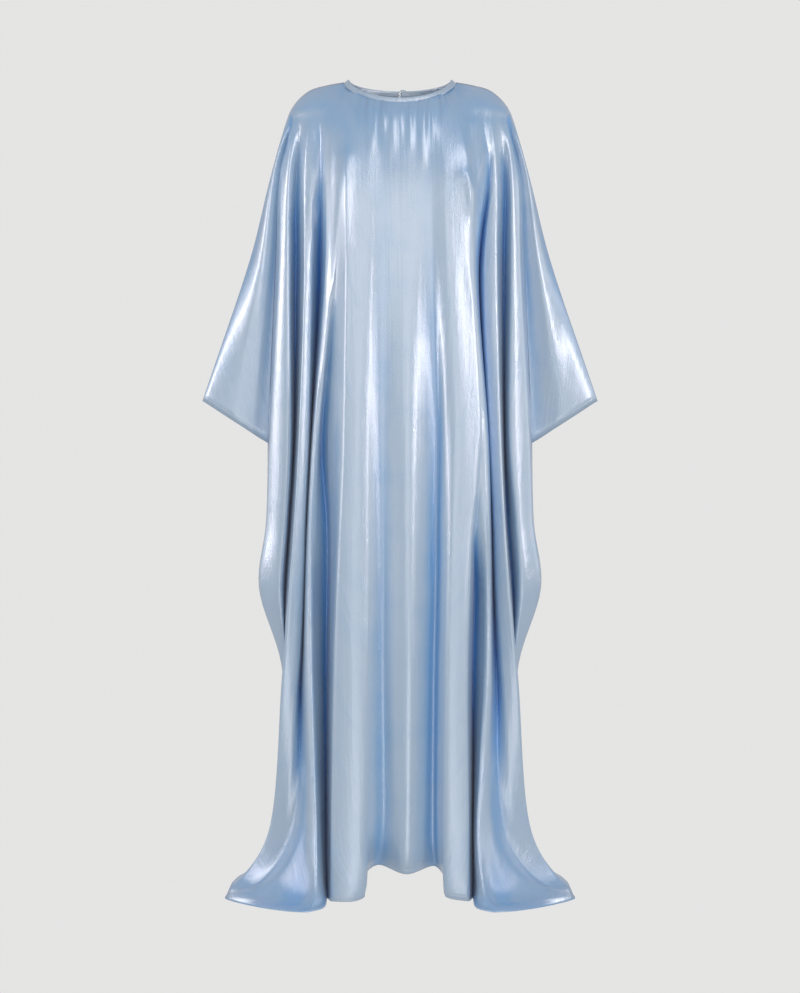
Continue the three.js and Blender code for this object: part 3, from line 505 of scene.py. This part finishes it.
def press(points, creases, facing):
    """Raises or sinks the cloth along each crease, and less and less towards the crease's ends."""
    flat = points[..., [0, 2]]
    for crease in creases:
        path = np.array(crease["path"], float)
        run = np.concatenate([[0], np.cumsum(np.linalg.norm(np.diff(path, axis=0), axis=1))])
        nearest = np.full(flat.shape[:2], np.inf)
        share = np.zeros(flat.shape[:2])
        for a, b, start, end in zip(path, path[1:], run, run[1:]):
            t = np.clip((flat - a) @ (b - a) / (end - start) ** 2, 0, 1)
            gap = np.linalg.norm(flat - a - t[..., None] * (b - a), axis=-1)
            share = np.where(gap < nearest, (start + t * (end - start)) / run[-1], share)
            nearest = np.minimum(nearest, gap)
        fade = np.sin(math.pi * np.clip(share, 0, 1)) ** 0.6
        points[..., 1] += facing * crease["rise"] * fade * np.exp(-((nearest / crease["width"]) ** 2))


# ---- making meshes ----
def finish_piece(bm, name, material, slot, *nodes):
    """Makes the piece's object, smooth and in metres, hangs it on the root body and hides the CAD parts it
    stands in for.
    """
    mesh = bpy.data.meshes.new(name)
    bm.to_mesh(mesh)
    bm.free()
    mesh.materials.append(material)
    mesh.shade_smooth()
    piece = bpy.data.objects.new(name, mesh)
    bpy.context.scene.collection.objects.link(piece)
    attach(piece, "root")
    if nodes:
        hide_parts(*nodes)
    return piece


def lay_grid(points):
    """A grid whose vertices lie on the points, and the column and row of each vertex."""
    columns, rows, _ = points.shape
    bm = bmesh.new()
    bmesh.ops.create_grid(bm, x_segments=columns - 1, y_segments=rows - 1, size=1)
    order = sorted(bm.verts, key=lambda v: (round(v.co.x * columns), round(-v.co.y * rows)))
    where = {}
    for n, vert in enumerate(order):
        where[vert] = divmod(n, rows)
        vert.co = points[where[vert]] * MM
    return bm, where


def hollows(points, facing):
    """How much painted shade each point gets: 0 on a crest or a flat, 1 at the bottom of a deep hollow.
    Cloth that leans back, as over the chest and out to the trains, gets part of that painted shade too."""
    depth = np.zeros(points.shape[:2])
    for j in range(points.shape[1]):
        run = run_lengths(points[:, j])
        near = np.exp(-(((run[:, None] - run) / FOLD_SPAN) ** 2))
        outward = facing * points[:, j, 1]
        from_seam = np.minimum(run, run[-1] - run)
        depth[:, j] = (near @ outward / near.sum(axis=1) - outward) / HOLLOW_DEPTH
        depth[:, j] *= np.clip(from_seam / (2 * FOLD_SPAN), 0, 1)
    outward = facing * np.cross(np.gradient(points, axis=0), np.gradient(points, axis=1))
    lean = outward[..., 2] / np.maximum(np.linalg.norm(outward, axis=-1), 1e-6)
    return np.clip(np.clip(depth, 0, 1) + LEAN_SHARE * np.clip(lean / 0.45, 0, 1), 0, 1)


def map_cloth(bm, where, points, last_rows, depth):
    """UV maps in metres: cloth runs across and down from the top edge, edge up from the free edge.
    The map named fold holds the share of painted shade: how deep in a hollow the cloth lies, and how far it
    leans back."""
    columns, rows, _ = points.shape
    across = np.stack([run_lengths(points[:, j]) for j in range(rows)], axis=1)
    across -= across[np.argmin(abs(points[:, rows // 4, 0]))]
    down = np.stack([run_lengths(points[i]) for i in range(columns)])
    edge = down[np.arange(columns), last_rows][:, None] - down
    cloth_map = bm.loops.layers.uv.new("cloth")
    edge_map = bm.loops.layers.uv.new("edge")
    shade_map = bm.loops.layers.uv.new("fold")
    for face in bm.faces:
        for loop in face.loops:
            at = where[loop.vert]
            loop[cloth_map].uv = (across[at] * MM, down[at] * MM)
            loop[edge_map].uv = (across[at] * MM, edge[at] * MM)
            loop[shade_map].uv = (depth[at], 0)


def open_slit(bm, where, column):
    """Parts the two columns that lie on each other, down to the end of the slit, and joins them below."""
    sides = {column: -1, column + 1: 1}
    top = NECK_FOOT - NECK_BACK["drop"]
    joined = []
    for vert, (i, _) in where.items():
        if i in sides:
            opening = SLIT_HALF_GAP * math.sqrt(max(0, 1 - (top - vert.co.z / MM) / SLIT_LENGTH))
            vert.co.x += sides[i] * opening * MM
            if not opening:
                joined.append(vert)
    between = [f for f in bm.faces if all(where[v][0] in sides for v in f.verts)]
    bmesh.ops.delete(bm, geom=between, context="FACES")
    bmesh.ops.remove_doubles(bm, verts=joined, dist=1e-5)


def cloth_panel(name, half, middle, neck, material, node, creases=(), split=None):
    """A panel's thin cloth, and its form: its points, the ends of its body and the slit's column."""
    points, first, last, split_at = sample_panel(half, middle, neck, split)
    press(points, creases, neck["facing"])
    points[..., 2] = np.maximum(points[..., 2], HEM_LIE)
    columns = np.arange(len(points))
    last_rows = np.where((columns < first) | (columns > last), CUFF_ROW, len(ROWS) - 1)
    bm, where = lay_grid(points)
    # The fold map carries painted shade for the hollows and for cloth that leans back.
    map_cloth(bm, where, points, last_rows, hollows(points, neck["facing"]))
    if neck["facing"] < 0:
        bmesh.ops.reverse_faces(bm, faces=bm.faces)
    past_edge = [f for f in bm.faces if any(where[v][1] > last_rows[where[v][0]] for v in f.verts)]
    if split:
        open_slit(bm, where, split_at)
    bmesh.ops.delete(bm, geom=[f for f in past_edge if f.is_valid], context="FACES")
    piece = finish_piece(bm, name, material, "satin", node)
    wall = piece.modifiers.new("wall", "SOLIDIFY")
    wall.thickness = CLOTH_THICK * MM
    wall.offset = -1
    form = dict(points=points, first=first, last=last, facing=neck["facing"], slit=split_at)
    return piece, form


def tube(rings):
    """A closed skin over a row of rings of points, with the maps of the cloth."""
    closed = np.concatenate([rings, rings[:, :1]], axis=1)
    bm, where = lay_grid(closed)
    map_cloth(bm, where, closed, np.zeros(len(closed), int), np.zeros(closed.shape[:2]))
    bmesh.ops.remove_doubles(bm, verts=bm.verts, dist=1e-6)
    bmesh.ops.holes_fill(bm, edges=[e for e in bm.edges if e.is_boundary])
    bmesh.ops.recalc_face_normals(bm, faces=bm.faces)
    return bm


def binding_ring(turn):
    """The binding's section at degrees round from the middle of the front."""
    front = abs(turn) < 90
    degrees = turn if front else math.copysign(180 - abs(turn), turn)
    foot = on_neckline(degrees, NECK_FRONT if front else NECK_BACK)
    away = np.array([foot[0] / NECK_HALF_WIDTH**2, foot[1] / NECK_FRONT["depth"] ** 2, 0])
    away /= np.linalg.norm(away)
    side = abs(math.sin(math.radians(turn))) ** 3
    lean = (BINDING_LEAN["all"] + BINDING_LEAN["side"] * side) / BINDING_HEIGHT
    ring = []
    for up, out in BINDING_SECTION:
        point = foot + away * (out - BINDING_SIDE["inset"] * side - lean * up)
        ring.append(point + [0, 0, up * (1 - BINDING_SIDE["drop"] * side)])
    return ring


def neck_binding(material):
    gap = math.degrees((SLIT_HALF_GAP + 0.4) / NECK_HALF_WIDTH)
    count = round(math.tau * 88 / BINDING_PITCH)
    turns = np.linspace(gap - 180, 180 - gap, count)
    bm = tube(np.array([binding_ring(turn) for turn in turns]))
    return finish_piece(bm, "neck_binding", material, "satin_band", "neck_band")


def covered_button(material):
    x, z = BUTTON_AT
    round_about = np.linspace(0, math.tau, 28, endpoint=False)
    rings = [[(x + r * math.cos(a), y, z + r * math.sin(a)) for a in round_about] for y, r in BUTTON_PROFILE]
    return finish_piece(tube(np.array(rings)), "covered_button", material, "satin_band", "button")


def button_loop(material):
    """A rolled cord of the cloth, from the left edge of the slit round the button and back."""
    lower = [(x, y, -z) for x, y, z in LOOP_HALF[1:]]
    path = spline(np.array([*LOOP_HALF[::-1], *lower]) + LOOP_MIDDLE, np.linspace(0, 6, 61))
    heading = np.gradient(path, axis=0)
    heading /= np.linalg.norm(heading, axis=1)[:, None]
    across = np.cross(heading, (0, 1, 0))
    turns = np.linspace(0, math.tau, 12, endpoint=False)[:, None]
    rings = []
    for point, side in zip(path, across):
        rings.append(point + LOOP_RADIUS * (np.cos(turns) * side + np.sin(turns) * (0, 1, 0)))
    return finish_piece(tube(np.array(rings)), "rolled_loop", material, "satin_band", "button_loop")


# ---- stitches ----
def edge_path(form, columns, distance, last_row=None):
    """A line on the outer face of a panel, at a distance from its top edge or from its row last_row."""
    points = form["points"]
    outward = form["facing"] * np.cross(np.gradient(points, axis=0), np.gradient(points, axis=1))
    path = []
    for i in columns:
        column = points[i] if last_row is None else points[i, last_row::-1]
        row = int(np.argmin(abs(run_lengths(column) - distance)))
        normal = outward[i, row if last_row is None else last_row - row]
        spot = along(column, [distance])[0]
        path.append(spot + normal / max(np.linalg.norm(normal), 1e-6) * STITCH_SIZE[2])
    return np.array(path)


def slit_path(form, column):
    """A line down a panel's column, as far as the slit goes."""
    path = form["points"][column]
    top = path[0, 2]
    return path[path[:, 2] > top - SLIT_LENGTH] + np.array([0, form["facing"] * STITCH_SIZE[2], 0])


def stitch_paths(form):
    """Where a panel is stitched: under the binding, along the hem and cuffs, and beside the slit."""
    points, first, last = form["points"], form["first"], form["last"]
    neck = np.flatnonzero(abs(points[:, 0, 1]) > 0.5)
    paths = [
        edge_path(form, neck, NECK_SEAM),
        edge_path(form, range(first, last + 1), HEM_FOLD, len(ROWS) - 1),
        edge_path(form, range(first + 1), HEM_FOLD, CUFF_ROW),
        edge_path(form, range(last, len(points)), HEM_FOLD, CUFF_ROW),
    ]
    if form["slit"]:
        paths += [slit_path(form, form["slit"] - 1), slit_path(form, form["slit"] + 2)]
    return paths


def stitches(form, name, material):
    """The panel's rows of stitches, as one piece."""
    bm = bmesh.new()
    for path in stitch_paths(form):
        length = run_lengths(path)[-1]
        spots = np.arange(STITCH_PITCH / 2, length, STITCH_PITCH)
        ahead = along(path, spots + STITCH_PITCH * 0.3)
        for spot, tip in zip(along(path, spots), ahead):
            turn = Vector(tip - spot).to_track_quat("X", "Z").to_matrix().to_4x4()
            place = Matrix.Translation(Vector(spot * MM)) @ turn @ Matrix.Diagonal((*STITCH_SIZE, 1))
            bmesh.ops.create_icosphere(bm, subdivisions=1, radius=MM, matrix=place)
    return finish_piece(bm, name, material, "satin")


# ---- materials ----
# Colours of the painted shade: pale on crests and flats, darker on slopes, darkest and bluest in the hollows.
CREST_BLUE = (0.39, 0.545, 0.69)
SLOPE_SHADE_BLUE = (0.12, 0.36, 0.66)
HOLLOW_SHADE_BLUE = (0.05, 0.36, 0.84)


def add(tree, kind, inputs=None, **settings):
    """Adds a node with its settings. inputs maps a socket to a constant or to the socket to link."""
    node = tree.nodes.new(kind)
    for name, value in settings.items():
        setattr(node, name, value)
    for name, value in (inputs or {}).items():
        if isinstance(value, bpy.types.NodeSocket):
            tree.links.new(value, node.inputs[name])
        else:
            node.inputs[name].default_value = value
    return node


def math_node(tree, operation, *values):
    return add(tree, "ShaderNodeMath", dict(enumerate(values)), operation=operation).outputs[0]


def new_material(name):
    material = bpy.data.materials.new(name)
    material.use_nodes = True
    material.node_tree.nodes.clear()
    return material, material.node_tree


def ripple(tree, place, per_metre, height, detail=2.0):
    """Uneven relief, in millimetres, with so many waves to the metre across and down the cloth."""
    scaled = add(tree, "ShaderNodeMapping", {"Vector": place, "Scale": (*per_metre, 1.0)}).outputs[0]
    noise = add(tree, "ShaderNodeTexNoise", {"Vector": scaled, "Scale": 1.0, "Detail": detail})
    return math_node(tree, "MULTIPLY", noise.outputs[0], height)


def ramp(tree, value, start, end, low=0.0, high=1.0):
    limits = {"Value": value, "From Min": start, "From Max": end, "To Min": low, "To Max": high}
    return add(tree, "ShaderNodeMapRange", limits, interpolation_type="SMOOTHSTEP").outputs[0]


def neck_puckers(tree, place):
    """Fine puckers among the gathers under the front of the neck, which fade out above the bust."""
    apart = add(tree, "ShaderNodeSeparateXYZ", {"Vector": place}).outputs
    off_middle = math_node(tree, "ABSOLUTE", math_node(tree, "SUBTRACT", apart[0], PUCKERS["middle"] * MM))
    within = ramp(tree, off_middle, PUCKERS["near"] * MM, PUCKERS["far"] * MM, 1.0, 0.0)
    fading = ramp(tree, apart[1], PUCKERS["top"] * MM, PUCKERS["end"] * MM, 1.0, 0.0)
    broad = ripple(tree, place, (36, 2), 9.0, 0.0)
    puckers = math_node(tree, "ADD", broad, ripple(tree, place, (84, 3), 9.0, 0.0))
    return math_node(tree, "MULTIPLY", puckers, math_node(tree, "MULTIPLY", within, fading))


def turned_hem(tree):
    """The cloth stands higher where it is folded over at a free edge, and dips at the stitches."""
    edge = add(tree, "ShaderNodeUVMap", uv_map="edge").outputs[0]
    apart = add(tree, "ShaderNodeSeparateXYZ", {"Vector": edge}).outputs
    doubled = ramp(tree, apart[1], (HEM_FOLD - 0.6) * MM, (HEM_FOLD + 0.8) * MM, 0.5, 0.0)
    near = ramp(tree, apart[1], HEM_FOLD * MM, 2.2 * HEM_FOLD * MM, 1.0, 0.0)
    puckers = ripple(tree, edge, (170, 20), 0.5)
    return math_node(tree, "ADD", doubled, math_node(tree, "MULTIPLY", puckers, near))


# The share of painted shade, read from the map named fold.
def painted_shade_depth(tree):
    fold = add(tree, "ShaderNodeUVMap", uv_map="fold").outputs[0]
    return add(tree, "ShaderNodeSeparateXYZ", {"Vector": fold}).outputs[0]


def painted_fold_shade(tree, patches, depth):
    """Painted shade: the cloth is paler on crests and flats and a darker, deeper blue in the hollows and
    where it leans back, with random patches varying it a little.
    """
    uneven = math_node(tree, "MULTIPLY", math_node(tree, "SUBTRACT", patches, 0.5), 0.3)
    tones = add(tree, "ShaderNodeValToRGB", {"Fac": math_node(tree, "ADD", depth, uneven)})
    tones.color_ramp.elements[0].color = (*CREST_BLUE, 1)
    tones.color_ramp.elements[1].color = (*HOLLOW_SHADE_BLUE, 1)
    tones.color_ramp.elements.new(0.5).color = (*SLOPE_SHADE_BLUE, 1)
    return tones.outputs[0]


def satin(name, gathered=False, ribbed=False):
    """Satin: blue cloth under a broad pale gloss, crinkled finely along its folds, with painted shade in its
    hollows and where it leans back.
    """
    material, tree = new_material(name)
    place = add(tree, "ShaderNodeUVMap", uv_map="cloth").outputs[0]
    patches = add(tree, "ShaderNodeTexNoise", {"Vector": place, "Scale": 14.0, "Detail": 2.0}).outputs[0]
    crinkled = ramp(tree, patches, 0.5, 0.68)
    depth = painted_shade_depth(tree)
    parts = [
        ripple(tree, place, (42, 2.2), 1.3),
        ripple(tree, place, (190, 7), 0.35),
        ripple(tree, place, (480, 380), 0.42),
        math_node(tree, "MULTIPLY", ripple(tree, place, (150, 230), 0.4), crinkled),
        turned_hem(tree),
    ]
    if gathered:
        parts.append(neck_puckers(tree, place))
    if ribbed:
        parts.append(ripple(tree, place, (330, 12), 2.4))
    height = parts[0]
    for part in parts[1:]:
        height = math_node(tree, "ADD", height, part)
    bump = add(tree, "ShaderNodeBump", {"Height": height, "Strength": 1.0, "Distance": MM})
    tangent = add(tree, "ShaderNodeTangent", direction_type="UV_MAP", uv_map="cloth")
    # Base Color carries the painted shade from the fold map, and the metallic share falls to nothing in the
    # hollows.
    shader = add(tree, "ShaderNodeBsdfPrincipled", {
        "Base Color": painted_fold_shade(tree, patches, depth), "Metallic": ramp(tree, depth, 0.0, 0.6, 0.12, 0.0),
        "Roughness": 0.27, "IOR": 2.1,
        "Specular IOR Level": 1.0, "Specular Tint": (1.0, 0.95, 0.96, 1), "Anisotropic": 0.5,
        "Coat Weight": 0.6, "Coat Roughness": 0.2, "Coat IOR": 1.6,
        "Sheen Weight": 0.2, "Sheen Roughness": 0.4, "Sheen Tint": (1.0, 0.94, 0.97, 1),
        "Normal": bump.outputs[0], "Tangent": tangent.outputs[0],
    })
    add(tree, "ShaderNodeOutputMaterial", {"Surface": shader.outputs[0]})
    return material


def thread():
    """Sewing thread: two plies twisted together."""
    material, tree = new_material("pale_blue_thread")
    place = add(tree, "ShaderNodeTexCoord").outputs["Object"]
    plies = add(tree, "ShaderNodeTexWave", {"Vector": place, "Scale": 900.0, "Distortion": 2.0})
    relief = {"Height": plies.outputs["Fac"], "Strength": 0.4, "Distance": 0.1 * MM}
    bump = add(tree, "ShaderNodeBump", relief)
    tones = add(tree, "ShaderNodeValToRGB", {"Fac": plies.outputs["Fac"]})
    tones.color_ramp.elements[0].color = (0.36, 0.52, 0.68, 1)
    tones.color_ramp.elements[1].color = (0.62, 0.72, 0.82, 1)
    shader = add(tree, "ShaderNodeBsdfPrincipled", {
        "Base Color": tones.outputs[0], "Roughness": 0.45, "Sheen Weight": 0.3, "Normal": bump.outputs[0],
    })
    add(tree, "ShaderNodeOutputMaterial", {"Surface": shader.outputs[0]})
    return material


def backdrop_paint():
    material, tree = new_material("backdrop_paint")
    glow = add(tree, "ShaderNodeEmission", {"Color": (0.78, 0.78, 0.775, 1), "Strength": 1.0})
    add(tree, "ShaderNodeOutputMaterial", {"Surface": glow.outputs[0]})
    return material


# ---- studio, in metres ----
COVE = {"radius": 9.0, "bend": 2.5, "height": 9.0}
ROOM = {"colour": (0.93, 0.95, 1.0, 1), "strength": 0.5}
CAMERA = {"at": (0, -3.5, -0.7437), "lens": 70.9, "sensor": 36}


def cove():
    """A pale floor that curves up into a round wall."""
    bm = bmesh.new()
    radius, bend, height = COVE["radius"], COVE["bend"], COVE["height"]
    profile = [(0, 0), (radius - bend, 0)]
    for step in range(1, 13):
        angle = math.radians(90 * step / 12)
        profile.append((radius - bend + bend * math.sin(angle), bend - bend * math.cos(angle)))
    profile.append((radius, height))
    verts = [bm.verts.new((x, 0, z + (FLOOR_Z - 0.5) * MM)) for x, z in profile]
    edges = [bm.edges.new(pair) for pair in zip(verts, verts[1:])]
    bmesh.ops.spin(bm, geom=verts + edges, cent=(0, 0, 0), axis=(0, 0, 1), angle=math.tau, steps=72,
                   use_merge=True)
    bmesh.ops.remove_doubles(bm, verts=bm.verts, dist=1e-5)
    bmesh.ops.recalc_face_normals(bm, faces=bm.faces)
    mesh = bpy.data.meshes.new("cove")
    bm.to_mesh(mesh)
    bm.free()
    mesh.materials.append(backdrop_paint())
    mesh.shade_smooth()
    wall = bpy.data.objects.new("cove", mesh)
    bpy.context.scene.collection.objects.link(wall)
    wall.visible_diffuse = False
    wall.visible_glossy = False
    wall.visible_transmission = False
    wall.visible_shadow = False


# Softboxes round the garment: bearing from the front (to the right of the view), height angle, power.
LIGHT_DISTANCE = 4
LIGHT_SIZE = (1.6, 2.0)
LIGHTS = [
    dict(light="key", bearing=30, lift=38, power=22, tint=(1.0, 0.94, 0.93)),
    dict(light="front", bearing=0, lift=10, power=10, tint=(1.0, 0.97, 0.96)),
    dict(light="right_front", bearing=42, lift=12, power=28, tint=(1.0, 0.93, 0.95), size=(0.7, 1.8)),
    dict(light="left_front", bearing=-64, lift=14, power=34, tint=(1.0, 0.93, 0.95), size=(0.7, 1.8)),
    dict(light="right", bearing=88, lift=10, power=10, tint=(1.0, 0.93, 0.95)),
    dict(light="left", bearing=-95, lift=8, power=10, tint=(1.0, 0.93, 0.95)),
    dict(light="low", bearing=5, lift=-25, power=11),
    dict(light="back", bearing=180, lift=5, power=24),
]


def softbox(light, bearing, lift, power, tint=(1, 1, 1), size=LIGHT_SIZE):
    lamp = bpy.data.lights.new(light, "AREA")
    lamp.shape = "RECTANGLE"
    lamp.size, lamp.size_y = size
    lamp.energy = power
    lamp.color = tint
    box = bpy.data.objects.new(light, lamp)
    turn, rise = math.radians(bearing), math.radians(lift)
    away = Vector((math.sin(turn) * math.cos(rise), -math.cos(turn) * math.cos(rise), math.sin(rise)))
    box.location = Vector((0, 0, FLOOR_Z * MM / 2)) + away * LIGHT_DISTANCE
    box.rotation_euler = away.to_track_quat("Z", "Y").to_euler()
    box.visible_camera = False
    bpy.context.scene.collection.objects.link(box)


def studio():
    cove()
    for row in LIGHTS:
        softbox(**row)
    world = bpy.data.worlds.new("room")
    bpy.context.scene.world = world
    world.use_nodes = True
    background = world.node_tree.nodes["Background"]
    background.inputs["Color"].default_value = ROOM["colour"]
    background.inputs["Strength"].default_value = ROOM["strength"]


def camera():
    """A level view from the front, with the whole garment in it."""
    lens = bpy.data.cameras.new("front_view")
    lens.lens = CAMERA["lens"]
    lens.sensor_width = CAMERA["sensor"]
    view = bpy.data.objects.new("front_view", lens)
    view.location = CAMERA["at"]
    view.rotation_euler = (math.radians(90), 0, 0)
    bpy.context.scene.collection.objects.link(view)
    bpy.context.scene.camera = view


# ---- putting it together ----
camera()
studio()
bpy.context.scene.view_settings.view_transform = "Standard"

front_cloth, front_form = cloth_panel(
    "front_cloth", FRONT_HALF, FRONT_MIDDLE, NECK_FRONT, satin("pale_blue_satin", gathered=True),
    "front_panel", FRONT_CREASES)
back_cloth, back_form = cloth_panel(
    "back_cloth", BACK_HALF, BACK_MIDDLE, NECK_BACK, satin("pale_blue_satin_back"), "back_panel",
    BACK_CREASES, split="spine")
band_satin = satin("pale_blue_satin_band", ribbed=True)
binding = neck_binding(band_satin)
covered_button(band_satin)
button_loop(band_satin)
sewing = thread()
front_stitches = stitches(front_form, "front_stitches", sewing)
back_stitches = stitches(back_form, "back_stitches", sewing)
